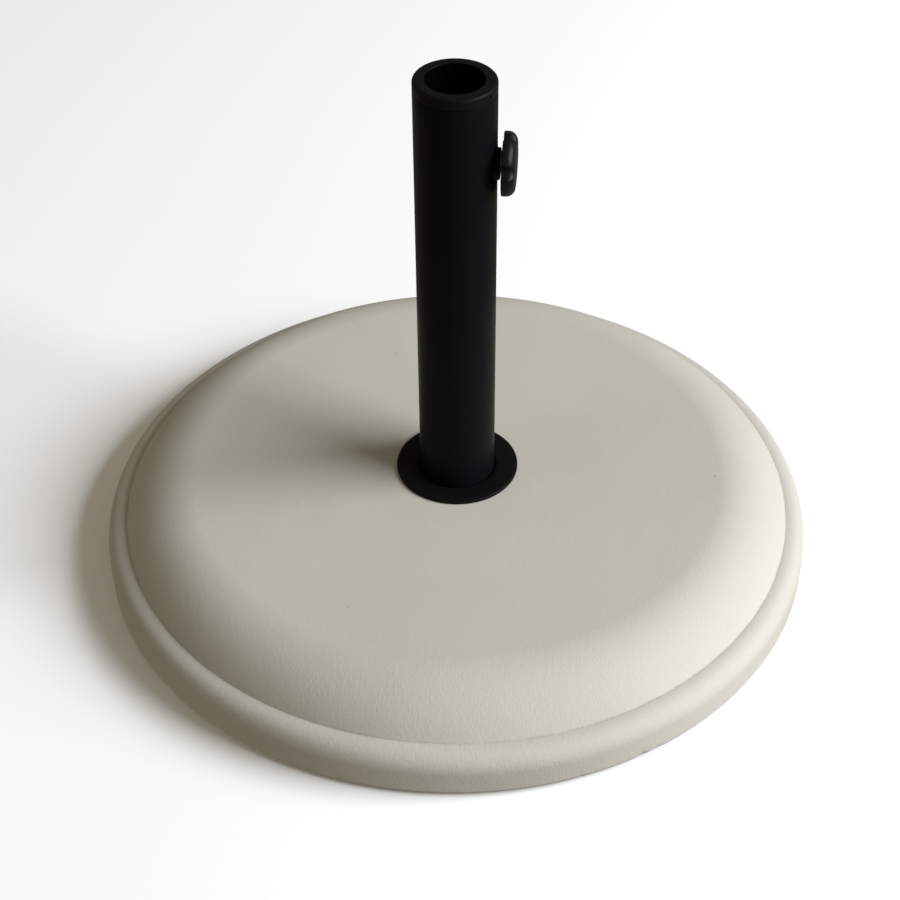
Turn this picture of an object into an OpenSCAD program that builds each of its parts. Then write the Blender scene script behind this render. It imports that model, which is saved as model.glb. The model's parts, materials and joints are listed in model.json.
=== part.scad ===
// Parasol base: a round cast-concrete ballast disc with a bolted stand tube, a cover rosette,
// a reducer ring for the pole and one clamp knob.
// +Z is up, the origin is on the ground under the tube's axis, and the knob points along +X.

/* [Ballast disc] */
// Diameter of the concrete disc over its rim
disc_d = 515; // [440:5:560]
// Thickness of the concrete at its flat top
disc_h = 61.5; // [58:0.5:75]
// Width of the rounded bead outside the crease
bead_w = 14.7; // [10:0.1:20]
// Height of the crease above the concrete's underside
crease_h = 32.9; // [28:0.1:38]
// Height of the rim's vertical wall, where the bead's curve starts
wall_h = 18; // [12:0.5:22]
// Roundness of the bead: 2 is an ellipse, more is squarer
bead_power = 2.15; // [2:0.1:3.5]
// Diameter of the flat top, inside the round shoulder that runs down to the crease
flat_d = 383; // [370:1:400]

/* [Stand tube] */
// Outer diameter of the steel tube
tube_d = 54; // [53:0.5:56]
// Wall thickness of the tube
tube_wall = 1.5; // [1.2:0.1:2]
// Height of the whole base above the ground, over the reducer ring
total_h = 380; // [340:1:450]

/* [Pole] */
// Diameter of the reducer ring's bore, which takes a 38 mm pole
pole_bore_d = 38.5; // [36:0.1:40]
// Height of the reducer ring's collar above the tube's end
collar_h = 8; // [6:0.5:12]
// Depth of the reducer ring's skirt inside the tube
skirt_h = 30; // [20:1:32]

/* [Cover rosette] */
// Outer diameter of the rosette
rosette_d = 88; // [80:1:110]
// Height of the rosette
rosette_h = 2.6; // [2.2:0.1:4]
// Gap between the rosette and the tube
rosette_gap = 1.3; // [0.8:0.1:1.8]

/* [Clamp knob] */
// Distance of the screw's axis below the top of the reducer ring
screw_drop = 59; // [51:1:68]
// Diameter of the star knob over its lobes
knob_d = 42; // [36:0.5:46]
// Thickness of the knob at its middle
knob_t = 8.8; // [8.8:0.1:12]
// Number of lobes on the knob
knob_lobes = 5; // [4:1:7]
// Angle of one lobe notch about the screw, from straight back towards up
knob_turned = 165; // [0:1:360]
// Distance of the knob's back from the tube's axis
knob_back_x = 30.6; // [30.6:0.1:31.5]
// Length of the clamp screw under its head
screw_l = 25; // [24:1:26]

/* [Hidden] */
$fn = 96;

// Heights above the ground, from the pads up
pad_proud = 3;
pad_sunk = 2;
pad_r = 16;
pad_edge = 1;
pad_count = 4;
disc_r = disc_d / 2;
pad_ring_r = disc_r - 52;
dome_z = pad_proud + disc_h;
crease_z = pad_proud + crease_h;
crease_r = disc_r - bead_w;
flat_r = min(flat_d / 2, crease_r - (dome_z - crease_z) - 5);
bottom_chamfer = 1.2;
curve_steps = 24;

// The shoulder is a circular arc that leaves the flat top smoothly and ends on the crease
shoulder_w = crease_r - flat_r;
shoulder_h = dome_z - crease_z;
shoulder_r = (pow(shoulder_w, 2) + pow(shoulder_h, 2)) / (2 * shoulder_h);
shoulder_angle = asin(shoulder_w / shoulder_r);

// Underside recess, bolt hole and tube socket
recess_r = 32;
recess_top_z = pad_proud + 16;
web_h = 14;
socket_z = recess_top_z + web_h;
sleeve_wall = 2;
tube_r = tube_d / 2;
tube_in_r = tube_r - tube_wall;
socket_gap = 0.3;
sleeve_r = tube_r + socket_gap + sleeve_wall;
spigot_r = 9;
bolt_hole_r = 6.75;

// Reinforcement; the spokes are thinner than the rings, which they are welded into
wire_r = 3;
spoke_r = 2.5;
wire_z = pad_proud + 20;
outer_wire_r = disc_r - 45;
inner_wire_r = 70;
spoke_count = 6;

// Tube, its end plate and the anchor bolt
tube_z = socket_z + sleeve_wall;
tube_top_z = total_h - collar_h;
plate_t = 5;
plate_r = tube_in_r;
plate_hole_r = 6.5;
plate_top_z = tube_z + plate_t;
nut_flats = 18;
nut_h = 10;
bolt_r = 5.95;
bolt_l = 40;
bolt_chamfer = 1;
bolt_head_h = 7.5;
big_washer_r = 25;
big_washer_t = 4;
spring_washer_r = 10.6;
spring_washer_t = 2.5;
spring_washer_slot = 1.2;
spring_washer_z = recess_top_z - big_washer_t - spring_washer_t;
bolt_head_top_z = spring_washer_z;

// Pole seat at the bottom of the tube
seat_r = tube_in_r - 0.3;
seat_skirt_wall = 2.2;
seat_floor_z = plate_top_z + 14.5;
seat_floor_t = 3;
seat_h = 32;
seat_drain_r = 4;
seat_lead = 3;
pole_r = pole_bore_d / 2;

// Reducer ring
sleeve_t = 2;
lip_chamfer = 0.5;
collar_round = 2;
collar_roof = 3.5;
collar_wall = 2;
rib_count = 8;
rib_t = 1.6;
rib_r = tube_in_r - 0.15;
dimple_r = 1.3;
dimple_depth = 0.8;
dimple_angle = -30;
dimple_drop = 4.1;

// Clamp boss, screw and knob, along +X at the screw's height
screw_z = total_h - screw_drop;
boss_flange_r = 10.4;
boss_face_x = tube_r + 1.9;
boss_body_r = 6;
boss_inner_x = tube_in_r - 1.3;
boss_edge = 0.4;
thread_hole_r = 4.04;
screw_r = 3.96;
screw_chamfer = 0.8;
hex_flats = 13;
hex_h = 3.9;
hex_pocket_gap = 0.1;
screw_head_x = knob_back_x + 3.8;
screw_tip_x = screw_head_x - screw_l;
pad_bore_r = 1.56;
pad_bore_l = 4;
pad_spigot_r = 1.5;
pad_spigot_l = 3.6;
pad_head_r = 3;
pad_head_t = 2.2;
pad_play = 0.05;
cap_r = 8.2;
cap_dome = 0.1;
knob_r = knob_d / 2;
knob_round = 6;
knob_back_edge = 0.5;
knob_crown = 0.2;
notch_r = 4.3;
notch_ring_r = knob_r + 0.8;

// Radius of a hexagon's corners for a width across its flats
function hex_corner_r(flats) = flats / (2 * cos(30));

// A quarter of a superellipse, from its outer low end to its inner high end
function super_quarter(r_in, r_out, z_low, z_high, power, steps) = [
    for (i = [0 : steps])
        let (a = 90 * i / steps)
        [
            r_in + (r_out - r_in) * pow(cos(a), 2 / power),
            z_low + (z_high - z_low) * pow(sin(a), 2 / power)
        ]
];

// The shoulder's points from just inside the crease to the edge of the flat top
function shoulder_points(steps) = [
    for (i = [1 : steps])
        let (a = shoulder_angle * (1 - i / steps))
        [flat_r + shoulder_r * sin(a), dome_z - shoulder_r * (1 - cos(a))]
];

// A circular arc of points about a centre
function arc(cx, cy, r, a0, a1, steps) = [
    for (i = [0 : steps])
        let (a = a0 + (a1 - a0) * i / steps)
        [cx + r * cos(a), cy + r * sin(a)]
];

// A plain ring or tube standing on z
module ring(r_out, r_in, z, h) {
    translate([0, 0, z])
        difference() {
            cylinder(r = r_out, h = h);
            translate([0, 0, -1]) cylinder(r = r_in, h = h + 2);
        }
}

// A ring of round wire
module wire_ring(r) {
    rotate_extrude() translate([r, wire_z]) circle(r = wire_r, $fn = 32);
}

// Turns a shape built along +Z so that it lies along the screw's axis
module along_screw() {
    translate([0, 0, screw_z]) rotate([0, 90, 0]) children();
}

// Straight wires from the inner ring to the outer ring
module spoke_wires() {
    for (i = [0 : spoke_count - 1])
        rotate([0, 0, (i + 0.5) * 360 / spoke_count])
            translate([inner_wire_r, 0, wire_z])
                rotate([0, 90, 0]) cylinder(r = spoke_r, h = outer_wire_r - inner_wire_r, $fn = 32);
}

// Places its children at each rubber pad
module each_pad_place() {
    for (i = [0 : pad_count - 1])
        rotate([0, 0, (i + 0.5) * 360 / pad_count]) translate([pad_ring_r, 0, 0]) children();
}

module disc_outline() {
    polygon(concat(
        [[0, pad_proud], [disc_r - bottom_chamfer, pad_proud], [disc_r, pad_proud + 2 * bottom_chamfer]],
        super_quarter(crease_r, disc_r, pad_proud + wall_h, crease_z, bead_power, curve_steps),
        shoulder_points(curve_steps),
        [[0, dome_z]]
    ));
}

module concrete_disc() {
    color([0.77, 0.76, 0.71])
        difference() {
            rotate_extrude($fn = 180) disc_outline();
            translate([0, 0, socket_z]) cylinder(r = sleeve_r, h = disc_h);
            translate([0, 0, recess_top_z - 1]) cylinder(r = spigot_r, h = web_h + 2);
            translate([0, 0, -1]) cylinder(r = recess_r, h = recess_top_z + 1);
            each_pad_place() translate([0, 0, -1]) cylinder(r = pad_r, h = pad_proud + pad_sunk + 1);
            wire_ring(outer_wire_r);
            wire_ring(inner_wire_r);
            spoke_wires();
        }
}

module rebar_outer_ring() {
    color([0.45, 0.42, 0.4]) wire_ring(outer_wire_r);
}

module rebar_inner_ring() {
    color([0.45, 0.42, 0.4]) wire_ring(inner_wire_r);
}

module rebar_spokes() {
    color([0.45, 0.42, 0.4])
        difference() {
            spoke_wires();
            wire_ring(outer_wire_r);
            wire_ring(inner_wire_r);
        }
}

module socket_sleeve() {
    color([0.12, 0.12, 0.13])
        difference() {
            union() {
                translate([0, 0, socket_z]) cylinder(r = sleeve_r, h = dome_z - socket_z);
                translate([0, 0, recess_top_z]) cylinder(r = spigot_r, h = web_h);
            }
            translate([0, 0, tube_z]) cylinder(r = tube_r + socket_gap, h = disc_h);
            translate([0, 0, recess_top_z - 1]) cylinder(r = bolt_hole_r, h = web_h + sleeve_wall + 2);
        }
}

module stand_tube() {
    color([0.06, 0.06, 0.06])
        difference() {
            ring(tube_r, tube_in_r, tube_z, tube_top_z - tube_z);
            along_screw() cylinder(r = boss_body_r, h = tube_d);
        }
}

module tube_end_plate() {
    color([0.5, 0.5, 0.52]) ring(plate_r, plate_hole_r, tube_z, plate_t);
}

module anchor_nut() {
    color([0.68, 0.66, 0.6])
        translate([0, 0, plate_top_z])
            difference() {
                cylinder(r = hex_corner_r(nut_flats), h = nut_h, $fn = 6);
                translate([0, 0, -1]) cylinder(r = bolt_r + 0.05, h = nut_h + 2);
            }
}

module anchor_bolt() {
    color([0.68, 0.66, 0.6]) {
        translate([0, 0, bolt_head_top_z - bolt_head_h])
            intersection() {
                cylinder(r = hex_corner_r(nut_flats), h = bolt_head_h, $fn = 6);
                cylinder(r1 = nut_flats / 2, r2 = nut_flats / 2 + bolt_head_h, h = bolt_head_h);
            }
        translate([0, 0, bolt_head_top_z]) cylinder(r = bolt_r, h = bolt_l - bolt_chamfer);
        translate([0, 0, bolt_head_top_z + bolt_l - bolt_chamfer])
            cylinder(r1 = bolt_r, r2 = bolt_r - bolt_chamfer, h = bolt_chamfer);
    }
}

module anchor_spring_washer() {
    color([0.62, 0.61, 0.58])
        difference() {
            ring(spring_washer_r, bolt_r + 0.2, spring_washer_z, spring_washer_t);
            translate([0, -spring_washer_slot / 2, spring_washer_z - 1])
                cube([2 * spring_washer_r, spring_washer_slot, spring_washer_t + 2]);
        }
}

module anchor_plate_washer() {
    color([0.68, 0.66, 0.6]) ring(big_washer_r, plate_hole_r, recess_top_z - big_washer_t, big_washer_t);
}

module foot_pads() {
    color([0.1, 0.1, 0.1])
        each_pad_place() {
            cylinder(r1 = pad_r - pad_edge, r2 = pad_r, h = pad_edge);
            translate([0, 0, pad_edge]) cylinder(r = pad_r, h = pad_proud + pad_sunk - pad_edge);
        }
}

// The rosette is a shallow dish with a lip at its outer edge and one at its hole
module cover_rosette() {
    outer_r = rosette_d / 2;
    inner_r = tube_r + rosette_gap;
    shell = 1.4;
    edge = 0.5;
    dish = 0.5;
    top_z = dome_z + rosette_h;
    color([0.05, 0.05, 0.05])
        rotate_extrude()
            polygon([
                [outer_r, dome_z], [outer_r, top_z - edge], [outer_r - edge, top_z],
                [inner_r + edge, top_z - dish], [inner_r, top_z - dish - edge], [inner_r, dome_z],
                [inner_r + shell, dome_z], [inner_r + shell, top_z - dish - shell],
                [outer_r - shell, top_z - shell], [outer_r - shell, dome_z]
            ]);
}

module pole_seat() {
    color([0.11, 0.11, 0.12])
        difference() {
            translate([0, 0, plate_top_z]) cylinder(r = seat_r, h = seat_h);
            translate([0, 0, plate_top_z - 1])
                cylinder(r = seat_r - seat_skirt_wall, h = seat_floor_z - plate_top_z + 1);
            translate([0, 0, seat_floor_z + seat_floor_t]) cylinder(r = pole_r, h = seat_h);
            translate([0, 0, seat_floor_z - 1]) cylinder(r = seat_drain_r, h = seat_floor_t + 2);
            translate([0, 0, plate_top_z + seat_h - seat_lead])
                cylinder(r1 = pole_r, r2 = pole_r + seat_lead + 1, h = seat_lead + 1);
        }
}

// Collar of the reducer ring: a cored ring with a rounded outer edge and a chamfered lip
module reducer_collar() {
    rotate_extrude()
        polygon(concat(
            [[pole_r, tube_top_z - skirt_h], [pole_r + sleeve_t, tube_top_z - skirt_h]],
            [[pole_r + sleeve_t, total_h - collar_roof], [tube_r - collar_wall, total_h - collar_roof]],
            [[tube_r - collar_wall, tube_top_z], [tube_r, tube_top_z]],
            arc(tube_r - collar_round, total_h - collar_round, collar_round, 0, 90, 6),
            [[pole_r + lip_chamfer, total_h], [pole_r, total_h - lip_chamfer]]
        ));
}

module reducer_rib() {
    translate([pole_r + sleeve_t / 2, -rib_t / 2, tube_top_z - skirt_h])
        cube([rib_r - pole_r - sleeve_t / 2, rib_t, skirt_h]);
    translate([pole_r + sleeve_t / 2, -rib_t / 2, tube_top_z])
        cube([tube_r - collar_wall / 2 - pole_r - sleeve_t / 2, rib_t, collar_h - collar_roof / 2]);
}

module reducer_ring() {
    color([0.07, 0.07, 0.075])
        difference() {
            union() {
                reducer_collar();
                for (i = [0 : rib_count - 1]) rotate([0, 0, (i + 0.5) * 360 / rib_count]) reducer_rib();
            }
            rotate([0, 0, dimple_angle])
                translate([tube_r - dimple_depth, 0, total_h - dimple_drop])
                    rotate([0, 90, 0]) cylinder(r = dimple_r, h = 2 * dimple_depth, $fn = 24);
        }
}

// The boss passes through the tube's wall; its flange is shaped to the tube and has a flat face
module clamp_boss() {
    color([0.06, 0.06, 0.06])
        difference() {
            union() {
                difference() {
                    along_screw() {
                        cylinder(r = boss_flange_r, h = boss_face_x - boss_edge);
                        translate([0, 0, boss_face_x - boss_edge])
                            cylinder(r1 = boss_flange_r, r2 = boss_flange_r - boss_edge, h = boss_edge);
                    }
                    cylinder(r = tube_r, h = total_h);
                }
                along_screw()
                    translate([0, 0, boss_inner_x])
                        cylinder(r = boss_body_r, h = boss_face_x - boss_edge - boss_inner_x);
            }
            along_screw() cylinder(r = thread_hole_r, h = tube_d);
        }
}

module clamp_screw() {
    color([0.3, 0.3, 0.31])
        along_screw()
            difference() {
                union() {
                    translate([0, 0, screw_tip_x])
                        cylinder(r1 = screw_r - screw_chamfer, r2 = screw_r, h = screw_chamfer);
                    translate([0, 0, screw_tip_x + screw_chamfer])
                        cylinder(r = screw_r, h = screw_l - screw_chamfer);
                    translate([0, 0, screw_head_x]) cylinder(r = hex_corner_r(hex_flats), h = hex_h, $fn = 6);
                }
                translate([0, 0, screw_tip_x - 1]) cylinder(r = pad_bore_r, h = pad_bore_l + 1);
            }
}

// Outline of the knob's section, from its axis: flat back, rounded rim, slightly crowned face
module knob_section() {
    face_z = knob_t - knob_crown;
    polygon(concat(
        [[0, 0], [knob_r - knob_back_edge, 0], [knob_r, knob_back_edge]],
        arc(knob_r - knob_round, face_z - knob_round, knob_round, 0, 90, 10),
        [[0, knob_t]]
    ));
}

module knob_body() {
    color([0.05, 0.055, 0.06])
        along_screw() translate([0, 0, knob_back_x])
            difference() {
                rotate_extrude() knob_section();
                for (i = [0 : knob_lobes - 1])
                    rotate([0, 0, 90 + knob_turned + i * 360 / knob_lobes])
                        translate([notch_ring_r, 0, -1]) cylinder(r = notch_r, h = knob_t + 2);
                translate([0, 0, -1]) cylinder(r = screw_r + 0.02, h = knob_t);
                translate([0, 0, screw_head_x - knob_back_x])
                    cylinder(r = hex_corner_r(hex_flats + hex_pocket_gap), h = knob_t, $fn = 6);
                translate([0, 0, screw_head_x - knob_back_x + hex_h]) cylinder(r = cap_r, h = knob_t);
            }
}

module knob_cap() {
    cap_z = screw_head_x - knob_back_x + hex_h;
    color([0.06, 0.065, 0.07])
        along_screw() translate([0, 0, knob_back_x])
            rotate_extrude()
                polygon([
                    [0, cap_z], [cap_r - 0.05, cap_z], [cap_r - 0.05, knob_t - knob_crown],
                    [cap_r - 1, knob_t - knob_crown / 2], [0, knob_t + cap_dome]
                ]);
}

module pressure_pad() {
    color([0.85, 0.84, 0.8])
        along_screw() {
            translate([0, 0, screw_tip_x - pad_play - pad_head_t]) cylinder(r = pad_head_r, h = pad_head_t);
            translate([0, 0, screw_tip_x - pad_play]) cylinder(r = pad_spigot_r, h = pad_spigot_l);
        }
}

concrete_disc();
rebar_outer_ring();
rebar_inner_ring();
rebar_spokes();
socket_sleeve();
stand_tube();
tube_end_plate();
anchor_nut();
anchor_bolt();
anchor_spring_washer();
anchor_plate_washer();
foot_pads();
cover_rosette();
pole_seat();
reducer_ring();
clamp_boss();
clamp_screw();
knob_body();
knob_cap();
pressure_pad();
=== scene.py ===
"""Parasol base: a cast-concrete disc with a stand tube, cover rosette, reducer ring and clamp knob.

All lengths are metres in the row frame: +Z up, origin on the ground under the tube, knob along +X.
"""

import json
import math

import bmesh
import bpy
import numpy as np
from mathutils import Matrix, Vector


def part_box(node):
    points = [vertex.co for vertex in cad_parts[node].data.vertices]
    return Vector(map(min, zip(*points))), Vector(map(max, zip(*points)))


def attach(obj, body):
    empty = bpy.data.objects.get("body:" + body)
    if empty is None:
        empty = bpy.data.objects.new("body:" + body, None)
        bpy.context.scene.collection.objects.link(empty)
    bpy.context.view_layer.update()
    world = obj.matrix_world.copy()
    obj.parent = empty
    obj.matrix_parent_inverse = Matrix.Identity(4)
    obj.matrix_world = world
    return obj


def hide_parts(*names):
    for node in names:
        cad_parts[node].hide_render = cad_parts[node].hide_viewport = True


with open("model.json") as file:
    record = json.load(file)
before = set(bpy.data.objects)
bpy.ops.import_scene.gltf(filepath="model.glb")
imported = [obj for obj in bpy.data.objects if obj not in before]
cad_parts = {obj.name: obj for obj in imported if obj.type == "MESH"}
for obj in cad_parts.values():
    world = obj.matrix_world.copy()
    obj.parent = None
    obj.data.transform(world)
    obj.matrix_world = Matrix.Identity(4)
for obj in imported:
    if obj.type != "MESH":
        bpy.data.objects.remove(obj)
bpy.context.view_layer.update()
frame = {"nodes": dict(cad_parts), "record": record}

MM = 0.001
TURN = 2 * math.pi


# ---------------------------------------------------------------- sizes taken from the frame

disc_low, disc_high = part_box("concrete_disc")
tube_low, tube_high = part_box("stand_tube")
rosette_low, rosette_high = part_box("cover_rosette")
reducer_low, reducer_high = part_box("reducer_ring")
seat_low, seat_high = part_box("pole_seat")
sleeve_low, sleeve_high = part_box("socket_sleeve")
nut_low, nut_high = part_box("anchor_nut")
bolt_low, bolt_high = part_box("anchor_bolt")
spring_low, spring_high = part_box("anchor_spring_washer")
washer_low, washer_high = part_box("anchor_plate_washer")
pads_low, pads_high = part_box("foot_pads")
boss_low, boss_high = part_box("clamp_boss")
screw_low, screw_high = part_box("clamp_screw")
knob_low, knob_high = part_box("knob_body")
cap_low, cap_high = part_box("knob_cap")
tip_low, tip_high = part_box("pressure_pad")

disc_r = disc_high.x
bead_w = 14.7 * MM
crease_r = disc_r - bead_w
crease_z = disc_low.z + 32.9 * MM
wall_z = disc_low.z + 18 * MM
dome_z = disc_high.z
flat_r = 191.5 * MM
tube_r = tube_high.x
tube_in_r = tube_r - 1.5 * MM
pole_r = 19.25 * MM
screw_z = (boss_low.z + boss_high.z) / 2
knob_r = 21 * MM
knob_notch_turn = math.radians(165)
knob_lobes = 5
hex_h = 3.9 * MM
hex_flats = 13 * MM
bolt_flats = 18 * MM
socket_step = 31.5 * MM
spigot_r = 9 * MM
bolt_hole_r = 6.75 * MM
boss_bore_r = 4.04 * MM
knob_bore_r = 3.98 * MM
bead_power = 2.15
m8_pitch = 1.25 * MM
m12_pitch = 1.75 * MM

# The knob points this many degrees towards the camera from square across the view
knob_azimuth = 6.2


# ---------------------------------------------------------------- mesh helpers


def grid_object(name, points, wrap_rows=True, cap_ends=False, weld=False):
    """A mesh of quads over points[row, column], closed along each row, with its faces outwards."""
    rows, columns = points.shape[:2]
    row = np.arange(rows if wrap_rows else rows - 1)
    column = np.arange(columns)
    r, c = np.meshgrid(row, column, indexing="ij")
    r2 = (r + 1) % rows
    c2 = (c + 1) % columns
    quads = np.stack([r * columns + c, r2 * columns + c, r2 * columns + c2, r * columns + c2], -1)
    faces = quads.reshape(-1, 4).tolist()
    if cap_ends:
        faces.append(list(range(columns))[::-1])
        faces.append([(rows - 1) * columns + i for i in range(columns)])
    mesh = bpy.data.meshes.new(name)
    mesh.from_pydata(points.reshape(-1, 3).tolist(), [], faces)
    shape = bmesh.new()
    shape.from_mesh(mesh)
    if weld:
        bmesh.ops.remove_doubles(shape, verts=shape.verts, dist=0.002 * MM)
    if shape.calc_volume(signed=True) < 0:
        bmesh.ops.reverse_faces(shape, faces=shape.faces)
    shape.to_mesh(mesh)
    shape.free()
    piece = bpy.data.objects.new(name, mesh)
    bpy.context.scene.collection.objects.link(piece)
    return piece


def smooth(piece, sharp_degrees=35):
    """Smooth shading, with edges over an angle kept sharp."""
    piece.data.shade_smooth()
    piece.data.set_sharp_from_angle(angle=math.radians(sharp_degrees))
    return piece


def rounded(corners, steps=5):
    """A closed outline of (across, along, radius) corners, each rounded by an arc of its radius."""
    outline = []
    count = len(corners)
    for i, (x, y, radius) in enumerate(corners):
        here = np.array([x, y])
        before = np.array(corners[i - 1][:2]) - here
        after = np.array(corners[(i + 1) % count][:2]) - here
        room = 0.49 * min(np.hypot(*before), np.hypot(*after))
        before = before / np.hypot(*before)
        after = after / np.hypot(*after)
        half = math.acos(float(np.clip(before @ after, -1, 1))) / 2
        if radius <= 0 or half > math.radians(89.5):
            outline.append(here)
            continue
        reach = min(radius / math.tan(half), room)
        radius = reach * math.tan(half)
        middle = before + after
        centre = here + middle / np.hypot(*middle) * radius / math.sin(half)
        start = here + before * reach - centre
        end = here + after * reach - centre
        a0 = math.atan2(start[1], start[0])
        turn = (math.atan2(end[1], end[0]) - a0 + math.pi) % TURN - math.pi
        for t in np.linspace(0, 1, steps + 1):
            a = a0 + turn * t
            outline.append(centre + radius * np.array([math.cos(a), math.sin(a)]))
    return np.array(outline)


def spaced(outline, gap):
    """A closed outline with extra points so that no stretch is longer than gap."""
    points = []
    for here, after in zip(outline, np.roll(outline, -1, axis=0)):
        pieces = max(1, math.ceil(np.hypot(*(after - here)) / gap))
        for i in range(pieces):
            points.append(here + (after - here) * i / pieces)
    return np.array(points)


def turned(outline, segments):
    """Points of a closed outline turned about Z: rows run round the axis, columns along the outline."""
    a = np.arange(segments) * TURN / segments
    x = np.outer(np.cos(a), outline[:, 0])
    y = np.outer(np.sin(a), outline[:, 0])
    z = np.broadcast_to(outline[:, 1], x.shape)
    return np.stack([x, y, z], -1)


def lathe(name, corners, segments=128, steps=5, weld=False, gap=None):
    """A piece turned about Z from rounded corners."""
    outline = rounded(corners, steps)
    if gap:
        outline = spaced(outline, gap)
    return smooth(grid_object(name, turned(outline, segments), weld=weld))


def lay_on_screw(piece):
    """Turns a piece that was made along +Z so that it lies along the clamp screw's axis."""
    place = Matrix.Translation((0, 0, screw_z)) @ Matrix.Rotation(math.pi / 2, 4, "Y")
    piece.data.transform(place)
    return piece


def cut(piece, tool, operation="DIFFERENCE"):
    """Applies a boolean of tool to piece and removes the tool."""
    modifier = piece.modifiers.new("cut", "BOOLEAN")
    modifier.operation = operation
    modifier.solver = "EXACT"
    modifier.object = tool
    bpy.context.view_layer.update()
    graph = bpy.context.evaluated_depsgraph_get()
    made = bpy.data.meshes.new_from_object(piece.evaluated_get(graph))
    piece.modifiers.clear()
    piece.data = made
    bpy.data.objects.remove(tool)
    return smooth(piece)


def joined(name, parts):
    """One mesh object made of several."""
    shape = bmesh.new()
    for part in parts:
        shape.from_mesh(part.data)
        bpy.data.objects.remove(part)
    mesh = bpy.data.meshes.new(name)
    shape.to_mesh(mesh)
    shape.free()
    piece = bpy.data.objects.new(name, mesh)
    bpy.context.scene.collection.objects.link(piece)
    return smooth(piece)


def super_quarter(r_in, r_out, z_low, z_high, power, count):
    """A quarter of a superellipse, from its outer low end to its inner high end."""
    a = np.linspace(0, math.pi / 2, count)
    across = r_in + (r_out - r_in) * np.abs(np.cos(a)) ** (2 / power)
    along = z_low + (z_high - z_low) * np.abs(np.sin(a)) ** (2 / power)
    return np.stack([across, along], -1)


def shoulder_arc(count):
    """The circular arc from the crease up to the flat top, which it meets smoothly."""
    across = crease_r - flat_r
    down = dome_z - crease_z
    radius = (across ** 2 + down ** 2) / (2 * down)
    a = np.linspace(math.asin(across / radius), 0, count)
    return np.stack([flat_r + radius * np.sin(a), dome_z - radius * (1 - np.cos(a))], -1)


def waves(points, size, count, seed):
    """A smooth random height from -1 to 1 at each point, with swells about size wide."""
    draw = np.random.default_rng(seed)
    total = np.zeros(points.shape[:-1])
    for _ in range(count):
        direction = draw.normal(size=3)
        direction *= TURN / size / np.linalg.norm(direction) * draw.uniform(0.6, 1.4)
        total += np.sin(points @ direction + draw.uniform(0, TURN))
    return total / count ** 0.5 / 2


def thread_radius(turn, along, pitch, minor, major):
    """Radius of a right-hand thread at an angle and a place along its axis."""
    phase = (along / pitch - turn / TURN) % 1.0
    ridge = np.clip((0.5 - np.abs(phase - 0.5)) * 2.6 - 0.65, 0, 1)
    return minor + (major - minor) * ridge


def threaded_rod(name, low, high, pitch, major, chamfer, bore_r=0.0, bore_l=0.0):
    """A rod along +Z with a helical thread up from low; bore_r opens a blind hole in its low end."""
    depth = 0.61 * pitch
    columns = 64
    turn = np.arange(columns) * TURN / columns
    heights = np.arange(low, high, pitch / 14)
    rings = [(1e-6, low)]
    if bore_r:
        rings = [(bore_r * 0.001, low + bore_l), (bore_r, low + bore_l), (bore_r, low)]
    points = [np.stack([r * np.cos(turn), r * np.sin(turn), np.full(columns, z)], -1) for r, z in rings]
    for z in np.append(heights, high):
        r = thread_radius(turn, z, pitch, major - depth, major)
        r = np.minimum(r, major - chamfer + (z - low))
        points.append(np.stack([r * np.cos(turn), r * np.sin(turn), np.full(columns, z)], -1))
    points.append(np.stack([1e-6 * np.cos(turn), 1e-6 * np.sin(turn), np.full(columns, high)], -1))
    return smooth(grid_object(name, np.array(points), wrap_rows=False, weld=True), 50)


def hex_block(name, low, high, flats, bore_r=0.0, chamfer_low=True, chamfer_high=True):
    """A hexagon nut or bolt head along +Z, its corners cut by 30 degree chamfers."""
    columns = 144
    turn = np.arange(columns) * TURN / columns
    hexagon = flats / 2 / np.cos((turn + TURN / 12) % (TURN / 6) - TURN / 12)
    rise = (hexagon.max() - flats / 2) * math.tan(math.radians(30))
    inner = bore_r if bore_r else 1e-6
    rings = [np.full(columns, inner)]
    heights = [low]
    for z in np.concatenate([np.linspace(low, low + rise, 5), np.linspace(high - rise, high, 5)]):
        limit = np.full(columns, np.inf)
        if chamfer_low:
            limit = np.minimum(limit, flats / 2 * 0.97 + (z - low) / math.tan(math.radians(30)))
        if chamfer_high:
            limit = np.minimum(limit, flats / 2 * 0.97 + (high - z) / math.tan(math.radians(30)))
        rings.append(np.minimum(hexagon, limit))
        heights.append(z)
    rings.append(np.full(columns, inner))
    heights.append(high)
    points = [np.stack([r * np.cos(turn), r * np.sin(turn), np.full(columns, z)], -1)
              for r, z in zip(rings, heights)]
    return smooth(grid_object(name, np.array(points), wrap_rows=bool(bore_r), weld=not bore_r), 25)


def weld_bead(name, path, size, seed):
    """A closed rippled weld bead of about size radius along a closed path of points."""
    draw = np.random.default_rng(seed)
    count = len(path)
    along = np.roll(path, -1, axis=0) - np.roll(path, 1, axis=0)
    along /= np.linalg.norm(along, axis=1)[:, None]
    side = np.cross(along, [1.0, 0.0, 0.0])
    side /= np.linalg.norm(side, axis=1)[:, None]
    up = np.cross(side, along)
    ripple = 1 + 0.16 * np.sin(np.arange(count) * TURN / 4) + draw.normal(0, 0.03, count)
    a = np.arange(10) * TURN / 10
    radius = size * ripple
    points = (path[:, None, :]
              + radius[:, None, None] * np.cos(a)[None, :, None] * side[:, None, :]
              + radius[:, None, None] * np.sin(a)[None, :, None] * up[:, None, :])
    return smooth(grid_object(name, points), 80)


# ---------------------------------------------------------------- material helpers


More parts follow.
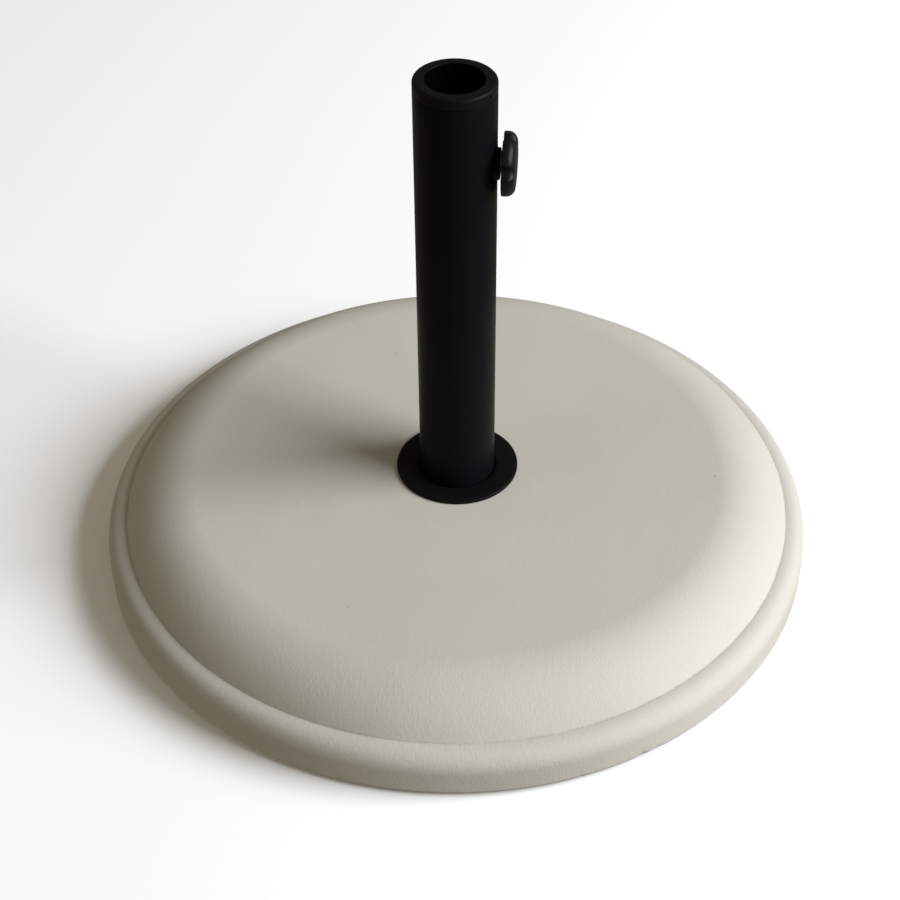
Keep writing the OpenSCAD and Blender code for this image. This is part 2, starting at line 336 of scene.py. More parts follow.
class Finish:
    """A node material with one Principled shader, and short calls for what feeds it."""

    def __init__(self, name, color, roughness, metallic=0.0, specular=0.5):
        self.material = bpy.data.materials.new(name)
        self.material.use_nodes = True
        self.nodes = self.material.node_tree.nodes
        self.links = self.material.node_tree.links
        self.shader = self.nodes["Principled BSDF"]
        self.shader.inputs["Base Color"].default_value = (*color, 1)
        self.shader.inputs["Roughness"].default_value = roughness
        self.shader.inputs["Metallic"].default_value = metallic
        self.shader.inputs["Specular IOR Level"].default_value = specular
        self.place = self.nodes.new("ShaderNodeTexCoord").outputs["Object"]
        self.last_bump = None

    def put(self, socket, value):
        """Links an output to a socket, or sets its value."""
        if isinstance(value, bpy.types.NodeSocket):
            self.links.new(value, socket)
        else:
            socket.default_value = value

    def noise(self, scale, detail=3.0, roughness=0.5, at=None):
        node = self.nodes.new("ShaderNodeTexNoise")
        node.inputs["Scale"].default_value = scale
        node.inputs["Detail"].default_value = detail
        node.inputs["Roughness"].default_value = roughness
        self.put(node.inputs["Vector"], at or self.place)
        return node.outputs["Fac"]

    def cells(self, scale):
        node = self.nodes.new("ShaderNodeTexVoronoi")
        node.inputs["Scale"].default_value = scale
        self.put(node.inputs["Vector"], self.place)
        return node.outputs["Distance"]

    def math(self, operation, a, b=0.0):
        node = self.nodes.new("ShaderNodeMath")
        node.operation = operation
        self.put(node.inputs[0], a)
        self.put(node.inputs[1], b)
        return node.outputs[0]

    def remap(self, value, low, high, new_low=0.0, new_high=1.0):
        """Eases value from the range low to high into a new range, and clamps it."""
        node = self.nodes.new("ShaderNodeMapRange")
        node.interpolation_type = "SMOOTHSTEP"
        self.put(node.inputs["Value"], value)
        node.inputs["From Min"].default_value = low
        node.inputs["From Max"].default_value = high
        node.inputs["To Min"].default_value = new_low
        node.inputs["To Max"].default_value = new_high
        return node.outputs["Result"]

    def blend(self, factor, a, b, mode="MIX"):
        node = self.nodes.new("ShaderNodeMix")
        node.data_type = "RGBA"
        node.blend_type = mode
        self.put(node.inputs["Factor"], factor)
        self.put(node.inputs["A"], a if isinstance(a, bpy.types.NodeSocket) else (*a, 1))
        self.put(node.inputs["B"], b if isinstance(b, bpy.types.NodeSocket) else (*b, 1))
        return node.outputs["Result"]

    def axes(self):
        """Distance from the Z axis, angle about it and height, of the point being shaded."""
        parts = self.nodes.new("ShaderNodeSeparateXYZ")
        self.put(parts.inputs[0], self.place)
        x, y, z = parts.outputs
        across = self.math("SQRT", self.math("ADD", self.math("MULTIPLY", x, x), self.math("MULTIPLY", y, y)))
        return across, self.math("ARCTAN2", y, x), z

    def vector(self, x, y, z):
        node = self.nodes.new("ShaderNodeCombineXYZ")
        self.put(node.inputs[0], x)
        self.put(node.inputs[1], y)
        self.put(node.inputs[2], z)
        return node.outputs[0]

    def bump(self, height, depth):
        """Adds a bump whose height of 0 to 1 stands for depth in metres."""
        node = self.nodes.new("ShaderNodeBump")
        node.inputs["Strength"].default_value = 1.0
        node.inputs["Distance"].default_value = depth
        self.put(node.inputs["Height"], height)
        if self.last_bump:
            self.put(node.inputs["Normal"], self.last_bump)
        self.last_bump = node.outputs["Normal"]
        self.put(self.shader.inputs["Normal"], self.last_bump)

    def color(self, value):
        self.put(self.shader.inputs["Base Color"], value)

    def rough(self, value):
        self.put(self.shader.inputs["Roughness"], value)


def concrete_finish():
    """Cast concrete under an off-white paint: soft mottling, fine peel, a few pores painted dark as shade,
    and faint painted shade in the crease and along the foot.
    """
    f = Finish("concrete_paint", (0.467, 0.454, 0.414), 0.72, specular=0.16)
    across, angle, height = f.axes()
    mottled = f.blend(f.remap(f.noise(7, 4), 0.35, 0.65), (0.456, 0.442, 0.401), (0.478, 0.465, 0.426))
    grained = f.blend(f.remap(f.noise(1300, 2), 0.3, 0.7), (0.965, 0.965, 0.96), (1.02, 1.02, 1.02))
    paint = f.blend(1.0, mottled, grained, "MULTIPLY")
    # Painted shade: the crease line and the lowest 4 mm of the wall are darkened, broken up by noise, where
    # shade would fall.
    cracked = f.math("ABSOLUTE", f.math("SUBTRACT", across, crease_r))
    crease = f.remap(cracked, 0.0, 1.4 * MM, 0.25, 0.0)
    foot = f.remap(height, disc_low.z, disc_low.z + 4 * MM, 0.08, 0.0)
    crease_foot_shade = f.math("MULTIPLY", f.math("MAXIMUM", crease, foot), f.remap(f.noise(60, 4), 0.25, 0.7))
    shaded_paint = f.blend(crease_foot_shade, paint, (0.22, 0.19, 0.15))
    # The pores sink in through the bump and are also painted darker, as painted shade inside the pits.
    chosen = f.math("LESS_THAN", f.noise(97, 0.0), 0.27)
    pore = f.math("MULTIPLY", f.remap(f.cells(120), 0.04, 0.085, 1.0, 0.0), chosen)
    f.color(f.blend(f.math("MULTIPLY", pore, 0.6), shaded_paint, (0.15, 0.135, 0.11)))
    f.rough(f.remap(f.noise(60, 3), 0.3, 0.7, 0.68, 0.76))
    outer = f.remap(across, 150 * MM, 225 * MM, 0.12, 1.0)
    drawn_out = f.vector(f.math("MULTIPLY", angle, 150.0), f.math("MULTIPLY", across, 300.0),
                         f.math("MULTIPLY", height, 300.0))
    drag = f.noise(1.0, 4, 0.6, at=drawn_out)
    f.bump(f.noise(210, 3), 0.075 * MM)
    f.bump(f.math("MULTIPLY", drag, outer), 0.21 * MM)
    f.bump(f.noise(1100, 2), 0.02 * MM)
    f.bump(f.math("SUBTRACT", 1.0, pore), 0.4 * MM)
    return f.material


def powder_coat_finish():
    """Black satin powder coat: fine orange peel, dust and faint scuffs."""
    f = Finish("powder_coat_black", (0.004, 0.0042, 0.0044), 0.42, specular=0.055)
    dust = f.math("MULTIPLY", f.remap(f.noise(28, 5, 0.6), 0.5, 0.75), f.remap(f.noise(900, 2), 0.4, 0.7))
    f.color(f.blend(f.math("MULTIPLY", dust, 0.3), (0.0026, 0.0032, 0.0037), (0.009, 0.0092, 0.0094)))
    scuff = f.remap(f.noise(1.0, 4, 0.6, at=scuff_coordinates(f)), 0.60, 0.72)
    f.rough(f.math("ADD", f.remap(f.noise(35, 3), 0.3, 0.7, 0.39, 0.43), f.math("MULTIPLY", scuff, 0.10)))
    f.bump(f.noise(620, 2), 0.045 * MM)
    f.bump(f.noise(90, 2), 0.01 * MM)
    return f.material


def scuff_coordinates(f):
    """Coordinates stretched up and down, for fine vertical scuffs."""
    across, angle, height = f.axes()
    return f.vector(f.math("MULTIPLY", angle, 40.0), f.math("MULTIPLY", across, 200.0),
                    f.math("MULTIPLY", height, 25.0))


def black_plastic_finish():
    """Moulded black plastic: a fine spark-eroded grain, a little dust, and bores that are glossier and
    painted darker as shade.
    """
    f = Finish("moulded_plastic_black", (0.005, 0.005, 0.0055), 0.5, specular=0.065)
    dust = f.remap(f.noise(45, 5, 0.65), 0.52, 0.8)
    dusty = f.blend(f.math("MULTIPLY", dust, 0.3), (0.0036, 0.0038, 0.0042), (0.012, 0.012, 0.0118))
    across, _, _ = f.axes()
    # Painted shade: the bore's surface is darkened to near black, and it is also made glossier.
    bore = f.remap(across, pole_r + 0.1 * MM, pole_r + 0.6 * MM, 1.0, 0.0)
    f.color(f.blend(bore, dusty, (0.0012, 0.0012, 0.0012)))
    f.rough(f.math("SUBTRACT", f.remap(f.noise(60, 3), 0.3, 0.7, 0.42, 0.56), f.math("MULTIPLY", bore, 0.24)))
    f.bump(f.cells(1500), 0.02 * MM)
    f.bump(f.noise(140, 2), 0.025 * MM)
    return f.material


def knob_finish():
    """Semi-gloss moulded knob with light handling scratches."""
    f = Finish("knob_plastic_black", (0.005, 0.0055, 0.006), 0.42, specular=0.13)
    worn = f.remap(f.noise(160, 5, 0.65), 0.5, 0.75)
    f.color(f.blend(f.math("MULTIPLY", worn, 0.25), (0.0032, 0.0038, 0.0044), (0.01, 0.0106, 0.0112)))
    f.rough(f.math("ADD", f.remap(f.noise(120, 3), 0.3, 0.7, 0.38, 0.48), f.math("MULTIPLY", worn, 0.08)))
    f.bump(f.noise(500, 3), 0.02 * MM)
    return f.material


def zinc_finish():
    """Zinc-plated steel with a mottled bright coat and a few dull white spots."""
    f = Finish("zinc_plated_steel", (0.58, 0.58, 0.56), 0.34, metallic=1.0)
    spots = f.remap(f.noise(420, 4, 0.6), 0.56, 0.68)
    bright = f.blend(f.noise(120, 3), (0.52, 0.52, 0.49), (0.66, 0.65, 0.61))
    f.color(f.blend(f.math("MULTIPLY", spots, 0.5), bright, (0.7, 0.69, 0.66)))
    f.rough(f.math("ADD", f.remap(f.noise(260, 3), 0.3, 0.7, 0.26, 0.40), f.math("MULTIPLY", spots, 0.25)))
    f.bump(f.noise(900, 3), 0.015 * MM)
    return f.material


def wire_finish():
    """Drawn wire with mill scale and thin rust."""
    f = Finish("drawn_wire_steel", (0.25, 0.2, 0.17), 0.6, metallic=0.6)
    rust = f.remap(f.noise(130, 5, 0.65), 0.42, 0.62)
    f.color(f.blend(rust, (0.3, 0.29, 0.28), (0.22, 0.09, 0.035)))
    f.rough(f.remap(rust, 0.0, 1.0, 0.45, 0.85))
    f.bump(f.noise(700, 4), 0.06 * MM)
    return f.material


def rubber_finish():
    """Matt black rubber, dusty where it meets the ground."""
    f = Finish("pad_rubber_black", (0.02, 0.02, 0.02), 0.8, specular=0.3)
    _, _, height = f.axes()
    low = f.remap(height, 0.0, 2 * MM, 0.6, 0.1)
    dust = f.math("MULTIPLY", f.remap(f.noise(150, 5), 0.4, 0.7), low)
    f.color(f.blend(dust, (0.018, 0.018, 0.018), (0.16, 0.145, 0.12)))
    f.rough(f.remap(f.noise(200, 3), 0.3, 0.7, 0.72, 0.88))
    f.bump(f.noise(900, 3), 0.05 * MM)
    return f.material


def nylon_finish():
    """Natural nylon with faint yellowing."""
    f = Finish("pressure_pad_nylon", (0.74, 0.71, 0.62), 0.45)
    f.color(f.blend(f.noise(300, 3), (0.70, 0.67, 0.57), (0.78, 0.76, 0.68)))
    f.rough(f.remap(f.noise(500, 3), 0.3, 0.7, 0.38, 0.52))
    f.bump(f.noise(1200, 2), 0.02 * MM)
    return f.material


# ---------------------------------------------------------------- pieces


def disc_outline():
    """Half section of the disc, closed: top, shoulder, bead, wall, underside, recess and socket."""
    top_gap = 1.6 * MM
    sleeve_r = sleeve_high.x
    step_z = sleeve_high.z - socket_step
    recess_r = 32 * MM
    recess_z = washer_high.z
    edge = 0.8 * MM
    bead = super_quarter(crease_r, disc_r, wall_z, crease_z, bead_power, 26)
    shoulder = shoulder_arc(60)
    flat = [(r, dome_z) for r in np.linspace(flat_r, sleeve_r + 2 * edge, int((flat_r - sleeve_r) / top_gap))]
    under = [
        (sleeve_r, dome_z, edge), (sleeve_r, step_z, 0), (spigot_r, step_z, 0),
        (spigot_r, recess_z, 0), (recess_r, recess_z, 2 * MM), (recess_r, disc_low.z, edge),
        (disc_r - 1.2 * MM, disc_low.z, edge), (disc_r, disc_low.z + 2.4 * MM, edge),
    ]
    lower = rounded([(flat_r, dome_z, 0)] + under + [(disc_r, wall_z, 0)], 4)
    lower = spaced(lower[1:], 4 * MM)[: -1]
    keep = lower[:, 0] > 0
    return np.concatenate([bead, shoulder[1:], flat[1:], lower[keep]])


def cast_disc():
    """The concrete disc, with slight swells and chipped edges, which only ever go inside the CAD shape."""
    points = turned(disc_outline(), 900)
    across = np.hypot(points[..., 0], points[..., 1])
    outside = (points[..., 2] > disc_low.z + 1 * MM) & (across > sleeve_high.x + 2 * MM)
    broad = (waves(points, 110 * MM, 24, 3) + 1) * 0.12 * MM
    fine = (waves(points, 24 * MM, 30, 4) + 1) * 0.035 * MM
    swell = broad + fine
    swell = np.clip(swell, 0, 1 * MM) * outside
    draw = np.random.default_rng(11)
    lower_edge = np.array([disc_r, disc_low.z + 1 * MM])
    section = np.hypot(across - lower_edge[0], points[..., 2] - lower_edge[1])
    angle = np.arctan2(points[..., 1], points[..., 0])
    chips = np.zeros(across.shape)
    for _ in range(26):
        where = draw.uniform(-math.pi, math.pi)
        width = draw.uniform(1.6, 4.5) * MM / disc_r
        apart = (angle - where + math.pi) % TURN - math.pi
        near = np.exp(-(apart / width) ** 2) * np.exp(-(section / (2.2 * MM)) ** 2)
        chips = np.maximum(chips, near * draw.uniform(0.4, 1.1) * MM)
    inward = swell + chips
    slope = np.clip((across - flat_r) / (crease_r - flat_r), 0, 1)
    points[..., 0] -= points[..., 0] / across * inward * slope
    points[..., 1] -= points[..., 1] / across * inward * slope
    points[..., 2] -= swell * (1 - slope) * (points[..., 2] > wall_z)
    points[..., 2] += chips * 0.5 * (section < 4 * MM)
    return smooth(grid_object("cast_disc", points), 40)


def tube_shell():
    """The stand tube, with rounded ends, a flattened weld seam inside and the boss's hole."""
    end = 0.15 * MM
    outline = rounded([(tube_r, tube_low.z, end), (tube_r, tube_high.z, end),
                       (tube_in_r, tube_high.z, end), (tube_in_r, tube_low.z, end)], 4)
    points = turned(spaced(outline, 12 * MM), 288)
    across = np.hypot(points[..., 0], points[..., 1])
    apart = (np.arctan2(points[..., 1], points[..., 0]) - math.radians(90)) * tube_in_r
    seam = 0.22 * MM * np.exp(-(apart / (1.1 * MM)) ** 2) * (across < tube_in_r + 0.2 * MM)
    points[..., :2] *= (1 - seam / across)[..., None]
    shell = smooth(grid_object("tube_shell", points))
    hole = lathe("hole", [(6 * MM, 15 * MM, 0), (6 * MM, 40 * MM, 0), (1e-6, 40 * MM, 0), (1e-6, 15 * MM, 0)],
                 64, weld=True)
    return cut(shell, lay_on_screw(hole))


def socket_liner():
    """The plastic former that lines the socket, with a small lead-in at its mouth."""
    inner = tube_r + 0.3 * MM
    floor = tube_low.z
    return lathe("socket_liner", [
        (sleeve_high.x, sleeve_high.z, 0.3 * MM), (inner, sleeve_high.z, 0.7 * MM), (inner, floor, 0.5 * MM),
        (bolt_hole_r, floor, 0.3 * MM), (bolt_hole_r, sleeve_low.z, 0.3 * MM),
        (spigot_r, sleeve_low.z, 0.3 * MM), (spigot_r, floor - 2 * MM, 0.3 * MM),
        (sleeve_high.x, floor - 2 * MM, 0.5 * MM),
    ])


def rosette_plate():
    """The cover rosette: a dished ring with soft rolled edges and a lip under each."""
    outer = rosette_high.x
    inner = tube_r + 1.3 * MM
    low, top = rosette_low.z, rosette_high.z
    dish = 0.5 * MM
    shell = 1.4 * MM
    return lathe("rosette_plate", [
        (outer, low, 0.15 * MM), (outer, top - 0.25 * MM, 0.9 * MM), (outer - 3.5 * MM, top, 6 * MM),
        (inner + 4 * MM, top - dish, 6 * MM), (inner, top - dish - 0.15 * MM, 0.7 * MM),
        (inner, low, 0.15 * MM),
        (inner + shell, low, 0.15 * MM), (inner + shell, top - dish - shell, 0.3 * MM),
        (outer - shell, top - shell, 0.3 * MM), (outer - shell, low, 0.15 * MM),
    ], 192)


def reducer_bush():
    """The reducer ring: cored collar with a rounded edge and chamfered lip, inner sleeve and ribs."""
    low, top = reducer_low.z, reducer_high.z
    seat = tube_high.z
    sleeve = pole_r + 2 * MM
    roof = top - 3.5 * MM
    bush = lathe("reducer_bush", [
        (pole_r, low, 0.5 * MM), (sleeve, low, 0.5 * MM), (sleeve, roof, 0.5 * MM),
        (tube_r - 2 * MM, roof, 0.5 * MM), (tube_r - 2 * MM, seat, 0.2 * MM),
        (tube_r - 0.9 * MM, seat, 0.1 * MM),
        (tube_r - 0.9 * MM, seat + 0.5 * MM, 0.1 * MM), (tube_r, seat + 0.5 * MM, 0.15 * MM),
        (tube_r, top, 2 * MM), (pole_r, top, 0.45 * MM),
    ], 160, 6)
    rib_r = tube_in_r - 0.15 * MM
    half = 0.8 * MM
    for i in range(8):
        rib = bpy.data.meshes.new("rib")
        shape = bmesh.new()
        bmesh.ops.create_cube(shape, size=1)
        size = (rib_r - sleeve + 0.6 * MM, 2 * half, seat + 1 * MM - low)
        place = Matrix.Rotation((i + 0.5) * TURN / 8, 4, "Z") @ Matrix.Translation(
            ((rib_r + sleeve - 0.6 * MM) / 2, 0, low + size[2] / 2 + 0.2 * MM))
        bmesh.ops.transform(shape, matrix=place @ Matrix.Diagonal((*size, 1)), verts=shape.verts)
        bmesh.ops.bevel(shape, geom=shape.edges, offset=0.25 * MM, segments=2, affect="EDGES", profile=0.5)
        shape.to_mesh(rib)
        shape.free()
        slab = bpy.data.objects.new("rib", rib)
        bpy.context.scene.collection.objects.link(slab)
        cut(bush, slab, "UNION")
    dimple_r, dimple_drop = 1.3 * MM, 4.1 * MM
    dimple_angle = math.radians(-30)
    dimple = lathe("dimple", [(dimple_r, tube_r - 0.8 * MM, 0.4 * MM), (dimple_r, tube_r + 2 * MM, 0),
                              (1e-6, tube_r + 2 * MM, 0), (1e-6, tube_r - 0.8 * MM, 0)], 24, weld=True)
    place = (Matrix.Rotation(dimple_angle, 4, "Z") @ Matrix.Translation((0, 0, top - dimple_drop))
             @ Matrix.Rotation(math.pi / 2, 4, "Y"))
    dimple.data.transform(place)
    return cut(bush, dimple)


def pole_cup():
    """The pole seat: a skirt over the nut, a floor with a drain hole and a flared cup."""
    low, top = seat_low.z, seat_high.z
    floor = low + 14.5 * MM
    outer = seat_high.x
    return lathe("pole_cup", [
        (outer, low, 0.4 * MM), (outer, top, 0.6 * MM), (pole_r + 3 * MM, top, 0.5 * MM),
        (pole_r, top - 3 * MM, 0.8 * MM), (pole_r, floor + 3 * MM, 0.6 * MM),
        (4 * MM, floor + 3 * MM, 0.5 * MM), (4 * MM, floor, 0.3 * MM),
        (outer - 2.2 * MM, floor, 0.8 * MM), (outer - 2.2 * MM, low, 0.4 * MM),
    ], 128)


def boss():
    """The threaded boss: a flange shaped to the tube, its body in the wall, and a painted weld round it."""
    flange_r = (boss_high.z - boss_low.z) / 2
    face = boss_high.x
    flange = lay_on_screw(lathe("boss_flange", [
        (boss_bore_r, 18 * MM, 0), (flange_r, 18 * MM, 0), (flange_r, face, 0.5 * MM),
        (boss_bore_r, face, 0.35 * MM),
    ], 96, gap=2 * MM))
    wall = lathe("wall", [(tube_r, screw_z - 30 * MM, 0), (tube_r, screw_z + 30 * MM, 0),
                          (1e-6, screw_z + 30 * MM, 0), (1e-6, screw_z - 30 * MM, 0)], 288, weld=True)
    cut(flange, wall)
    body = lay_on_screw(lathe("boss_body", [
        (boss_bore_r, boss_low.x, 0.3 * MM), (6 * MM, boss_low.x, 0.3 * MM), (6 * MM, face - 1 * MM, 0),
        (boss_bore_r, face - 1 * MM, 0),
    ], 64))
    a = np.arange(120) * TURN / 120
    y = flange_r * np.cos(a)
    path = np.stack([np.sqrt(tube_r ** 2 - y ** 2), y, screw_z + flange_r * np.sin(a)], -1)
    bead = weld_bead("boss_weld", path, 0.55 * MM, 5)
    return joined("boss_with_weld", [flange, body, bead])


def clamp_rod():
    """The M8 clamp screw: threaded shank with a bored tip, and its hexagon head in the knob."""
    head = screw_high.x - hex_h
    rod = threaded_rod("rod", screw_low.x, head, m8_pitch, 3.96 * MM, 0.8 * MM, 1.56 * MM, 4 * MM)
    top = hex_block("head", head, screw_high.x, hex_flats, chamfer_low=False)
    return lay_on_screw(joined("clamp_rod", [rod, top]))


def star_outline(turn, inset, notch_inset):
    """Radius of the knob's star at each angle, with its rim moved in by inset."""
    rim = knob_r - inset
    ring = knob_r + 0.8 * MM
    notch = 4.3 * MM + notch_inset
    radius = np.full(turn.shape, rim)
    for i in range(knob_lobes):
        apart = (turn - i * TURN / knob_lobes + math.pi) % TURN - math.pi
        side = ring * np.sin(apart)
        inside = (np.abs(side) < notch) & (np.abs(apart) < TURN / 4)
        reach = np.where(inside, ring * np.cos(apart) - np.sqrt(np.maximum(notch ** 2 - side ** 2, 0)), 1.0)
        soft = 0.9 * MM
        mix = np.clip(0.5 + 0.5 * (reach - radius) / soft, 0, 1)
        radius = reach * (1 - mix) + radius * mix - soft * mix * (1 - mix)
    return radius


def star_knob():
    """The star knob: flat back, finger lobes with a large round edge, crowned face, recess for the cap."""
    back, face = knob_low.x, knob_high.x
    round_r = 6 * MM
    crown = 0.15 * MM
    edge = 0.5 * MM
    turn = np.arange(320) * TURN / 320
    rings = []

    def add(radius, height):
        radius = np.broadcast_to(radius, turn.shape)
        level = np.full(turn.shape, height)
        rings.append(np.stack([radius * np.cos(turn), radius * np.sin(turn), level], -1))

    add(knob_bore_r, back)
    for share in (0.35, 0.6, 0.8, 0.95):
        add(4 * MM + (star_outline(turn, edge, edge) - 4 * MM) * share, back)
    for a in np.linspace(0, math.pi / 2, 5):
        inset = edge * (1 - math.sin(a))
        add(star_outline(turn, inset, inset), back + edge * (1 - math.cos(a)))
    rim_top = face - crown - round_r
    for height in np.linspace(back + edge, rim_top, 5)[1:]:
        add(star_outline(turn, 0, 0), height)
    for a in np.linspace(0, math.pi / 2, 15)[1:]:
        inset = round_r * (1 - math.cos(a))
        add(star_outline(turn, inset, inset * 0.55), rim_top + round_r * math.sin(a))
    shelf = star_outline(turn, round_r, round_r * 0.55)
    recess = 8.2 * MM
    for share in np.linspace(0, 1, 9)[1:]:
        height = face - crown + crown * math.sin(share * math.pi / 2)
        add(shelf + (recess + 0.35 * MM - shelf) * share, height)
    add(recess + 0.1 * MM, face - 0.1 * MM)
    add(recess, face - 0.35 * MM)
    add(recess, cap_low.x)
    add(7.6 * MM, cap_low.x)
    add(7.6 * MM, cap_low.x - hex_h)
    add(knob_bore_r, cap_low.x - hex_h)
    knob = smooth(grid_object("star_knob", np.array(rings)), 50)
    knob.data.transform(Matrix.Rotation(math.pi / 2 + knob_notch_turn, 4, "Z"))
    return lay_on_screw(knob)


def knob_button():
    """The snap-in cap in the knob's face, slightly crowned with a soft edge."""
    low = cap_low.x
    edge = cap_high.x - 0.35 * MM
    return lay_on_screw(lathe("knob_button", [
        (8.12 * MM, low, 0.2 * MM), (8.12 * MM, edge, 0.4 * MM), (5.2 * MM, cap_high.x - 0.05 * MM, 7 * MM),
        (1e-6, cap_high.x, 0), (1e-6, low, 0),
    ], 96, 6, weld=True))


def pressure_tip():
    """The nylon pressure pad with its spigot in the screw's end."""
    shoulder = tip_low.x + 2.2 * MM
    return lay_on_screw(lathe("pressure_tip", [
        (1e-6, tip_low.x, 0), (3 * MM, tip_low.x, 0.5 * MM), (3 * MM, shoulder, 0.25 * MM),
        (1.5 * MM, shoulder, 0.05 * MM), (1.5 * MM, tip_high.x, 0.4 * MM), (1e-6, tip_high.x, 0),
    ], 64, weld=True))


def anchor_screw():
    """The M12 anchor bolt: chamfered hexagon head below, threaded shank above."""
    head = hex_block("head", bolt_low.z, spring_low.z, bolt_flats, chamfer_high=False)
    rod = threaded_rod("rod", spring_low.z, bolt_high.z, m12_pitch, 5.95 * MM, 0)
    return joined("anchor_screw", [head, rod])


def weld_nut():
    """The M12 nut on the tube's end plate."""
    return hex_block("weld_nut", nut_low.z, nut_high.z, bolt_flats, bore_r=6 * MM)


def split_washer():
    """The spring washer: a square-section ring with a slanting split."""
    outer, inner = spring_high.y, 6.15 * MM
    low, top = spring_low.z, spring_high.z
    edge = 0.3 * MM
    section = rounded([(outer, low, edge), (outer, top, edge), (inner, top, edge), (inner, low, edge)], 3)
    rows = np.linspace(0, 1, 121)
    gap = math.radians(6)
    share = (section[:, 1] - low) / (top - low) - 0.5
    a = gap + rows[:, None] * (TURN - 2 * gap) + share[None, :] * math.radians(9)
    points = np.stack([section[:, 0] * np.cos(a), section[:, 0] * np.sin(a),
                       np.broadcast_to(section[:, 1], a.shape)], -1)
    return smooth(grid_object("split_washer", points, wrap_rows=False, cap_ends=True))


def plate_washer():
    """The large flat washer, with the rounded edge that punching leaves on one side."""
    low, top = washer_low.z, washer_high.z
    return lathe("plate_washer", [
        (6.5 * MM, low, 0.8 * MM), (washer_high.x, low, 1 * MM), (washer_high.x, top, 0.15 * MM),
        (6.5 * MM, top, 0.15 * MM),
    ], 144)


def ground_pads():
    """Four rubber pads, each with two grooves in its face."""
    pad_r = 16 * MM
    low, top = pads_low.z, pads_high.z
    centre = pads_high.x - pad_r
    groove = 0.9 * MM
    parts = []
    for x in (-centre, centre):
        for y in (-centre, centre):
            corners = [(1e-6, low, 0)]
            for r in (5.5 * MM, 10.5 * MM):
                corners += [(r - 0.8 * MM, low, 0.2 * MM), (r - 0.5 * MM, low + groove, 0.2 * MM),
                            (r + 0.5 * MM, low + groove, 0.2 * MM), (r + 0.8 * MM, low, 0.2 * MM)]
            corners += [(pad_r - 1 * MM, low, 0.4 * MM), (pad_r, low + 1 * MM, 0.4 * MM),
                        (pad_r, top, 0.3 * MM), (1e-6, top, 0)]
            pad = lathe("pad", corners, 72, 3, weld=True)
            pad.data.transform(Matrix.Translation((x, y, 0)))
            parts.append(pad)
    return joined("ground_pads", parts)


# ---------------------------------------------------------------- assembly

finishes = {
    "concrete": concrete_finish(),
    "powder_coat": powder_coat_finish(),
    "black_plastic": black_plastic_finish(),
    "knob_plastic": knob_finish(),
    "zinc_steel": zinc_finish(),
    "wire_steel": wire_finish(),
    "black_rubber": rubber_finish(),
    "white_nylon": nylon_finish(),
}


def fit(piece, body, slot, *nodes):
    """Gives a piece its finish, puts it on its body and lets it stand for its CAD nodes."""
    piece.data.materials.clear()
    piece.data.materials.append(finishes[slot])
    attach(piece, body)
    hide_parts(*nodes)


fit(cast_disc(), "base", "concrete", "concrete_disc")
fit(tube_shell(), "base", "powder_coat", "stand_tube")
fit(socket_liner(), "base", "black_plastic", "socket_sleeve")
fit(pole_cup(), "base", "black_plastic", "pole_seat")
fit(boss(), "base", "powder_coat", "clamp_boss")
fit(anchor_screw(), "base", "zinc_steel", "anchor_bolt")
fit(weld_nut(), "base", "zinc_steel", "anchor_nut")
fit(split_washer(), "base", "zinc_steel", "anchor_spring_washer")
fit(plate_washer(), "base", "zinc_steel", "anchor_plate_washer")
fit(ground_pads(), "base", "black_rubber", "foot_pads")
fit(rosette_plate(), "rosette", "black_plastic", "cover_rosette")
fit(reducer_bush(), "reducer", "black_plastic", "reducer_ring")
fit(clamp_rod(), "knob", "zinc_steel", "clamp_screw")
fit(star_knob(), "knob", "knob_plastic", "knob_body")
fit(knob_button(), "knob", "knob_plastic", "knob_cap")
fit(pressure_tip(), "clamp_pad", "white_nylon", "pressure_pad")

# The CAD nodes that stay take the finish of their material slot.
slots = {part["node"]: part["material_slot"] for part in frame["record"]["subparts"]}
for node, piece in frame["nodes"].items():
    if not piece.hide_render:
        piece.data.materials.clear()
        piece.data.materials.append(finishes[slots[node]])


# ---------------------------------------------------------------- stage, light and camera


def floor():
    """A plain pale round floor that takes shadows and throws no light back."""
    radius = 4.2
    count = 96
    turns = [i * TURN / count for i in range(count)]
    mesh = bpy.data.meshes.new("floor")
    mesh.from_pydata([(radius * math.cos(a), radius * math.sin(a), 0) for a in turns], [], [range(count)])
    plane = bpy.data.objects.new("floor", mesh)
    bpy.context.scene.collection.objects.link(plane)
    pale = Finish("floor_pale", (0.95, 0.96, 0.98), 0.9, specular=0.0)
    mesh.materials.append(pale.material)
    plane.visible_diffuse = False
    plane.visible_glossy = False


def window_light(name, azimuth, elevation, distance, width, height, power, color):
    """A soft rectangular light aimed at the middle of the object."""
    data = bpy.data.lights.new(name, "AREA")
    data.shape = "RECTANGLE"
    data.size = width
    data.size_y = height
    data.energy = power
    data.color = color
    light = bpy.data.objects.new(name, data)
    bpy.context.scene.collection.objects.link(light)
    a = math.radians(azimuth)
    e = math.radians(elevation)
    turn = Matrix.Rotation(a + math.pi / 2, 4, "Z") @ Matrix.Rotation(math.pi / 2 - e, 4, "X")
    light.matrix_world = turn @ Matrix.Translation((0, 0, distance))
    return light


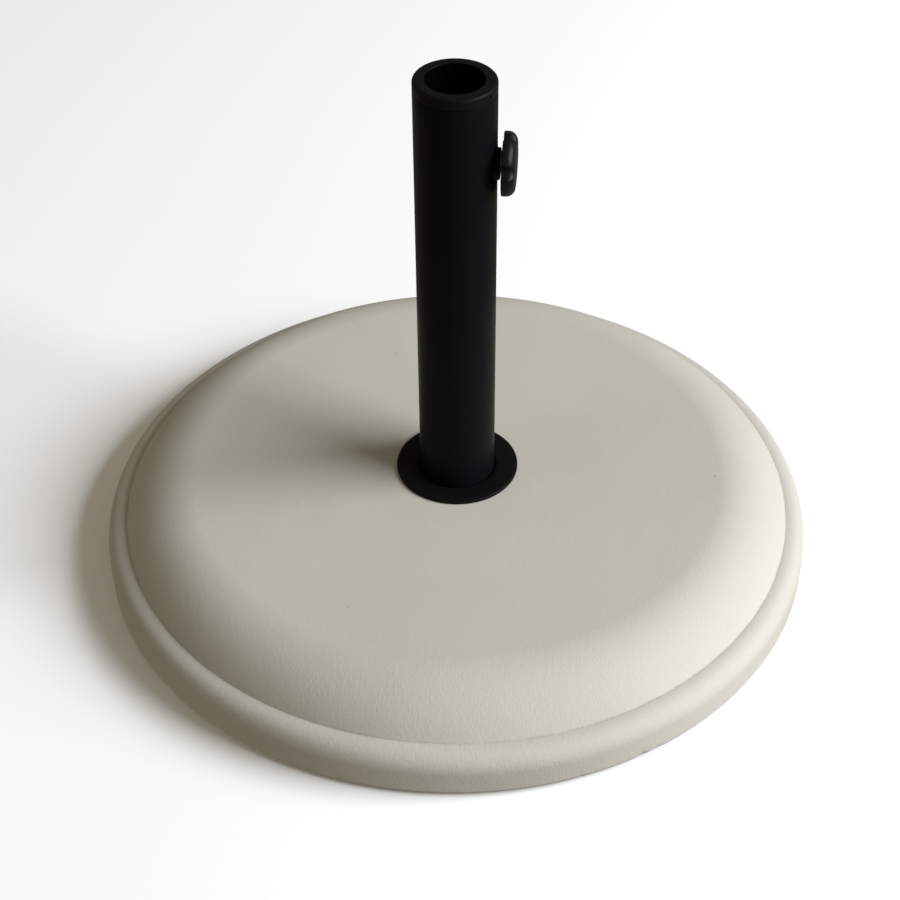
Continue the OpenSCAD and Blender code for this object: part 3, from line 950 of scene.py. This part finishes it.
def studio():
    """A soft cool window light from the right, two weak low lights and a dim warm surround.

    The camera sees the surround as pale, so that low views have a plain background.
    """
    window_light("window", azimuth=-12.5 + knob_azimuth, elevation=33, distance=6.0, width=4.2, height=3.0,
                 power=590, color=(0.965, 1.0, 1.03))
    window_light("fill", azimuth=178.0 + knob_azimuth, elevation=15, distance=6.0, width=5.0, height=2.0,
                 power=26, color=(1.0, 0.98, 0.92))
    window_light("bounce", azimuth=-50.0 + knob_azimuth, elevation=3, distance=6.0, width=5.0, height=0.4,
                 power=75, color=(1.0, 1.0, 1.0))
    world = bpy.data.worlds.new("surround")
    world.use_nodes = True
    nodes = world.node_tree.nodes
    links = world.node_tree.links
    glow = nodes["Background"]
    glow.inputs["Color"].default_value = (1.0, 0.88, 0.65, 1)
    glow.inputs["Strength"].default_value = 0.25
    pale = nodes.new("ShaderNodeBackground")
    pale.inputs["Color"].default_value = (0.95, 0.95, 0.94, 1)
    seen = nodes.new("ShaderNodeMixShader")
    links.new(nodes.new("ShaderNodeLightPath").outputs["Is Camera Ray"], seen.inputs[0])
    links.new(glow.outputs[0], seen.inputs[1])
    links.new(pale.outputs[0], seen.inputs[2])
    links.new(seen.outputs[0], nodes["World Output"].inputs["Surface"])
    bpy.context.scene.world = world
    bpy.context.scene.view_settings.view_transform = "Standard"


def camera():
    """The camera at the photograph's viewing angle."""
    azimuth = math.radians(knob_azimuth)
    away = 1.0148
    height = disc_low.z + 0.9437
    pitch = math.radians(42.118)
    yaw = math.radians(1.791)
    roll = math.radians(0.858)
    data = bpy.data.cameras.new("camera")
    data.lens = 73.34
    data.sensor_width = 36
    data.shift_x = -0.0556
    data.shift_y = 0.0556
    data.dof.use_dof = False
    view = bpy.data.objects.new("camera", data)
    bpy.context.scene.collection.objects.link(view)
    place = Matrix.Translation((away * math.sin(azimuth), -away * math.cos(azimuth), height))
    aim = (Matrix.Rotation(azimuth - yaw, 4, "Z") @ Matrix.Rotation(math.pi / 2 - pitch, 4, "X")
           @ Matrix.Rotation(roll, 4, "Z"))
    view.matrix_world = place @ aim
    bpy.context.scene.camera = view


floor()
studio()
camera()
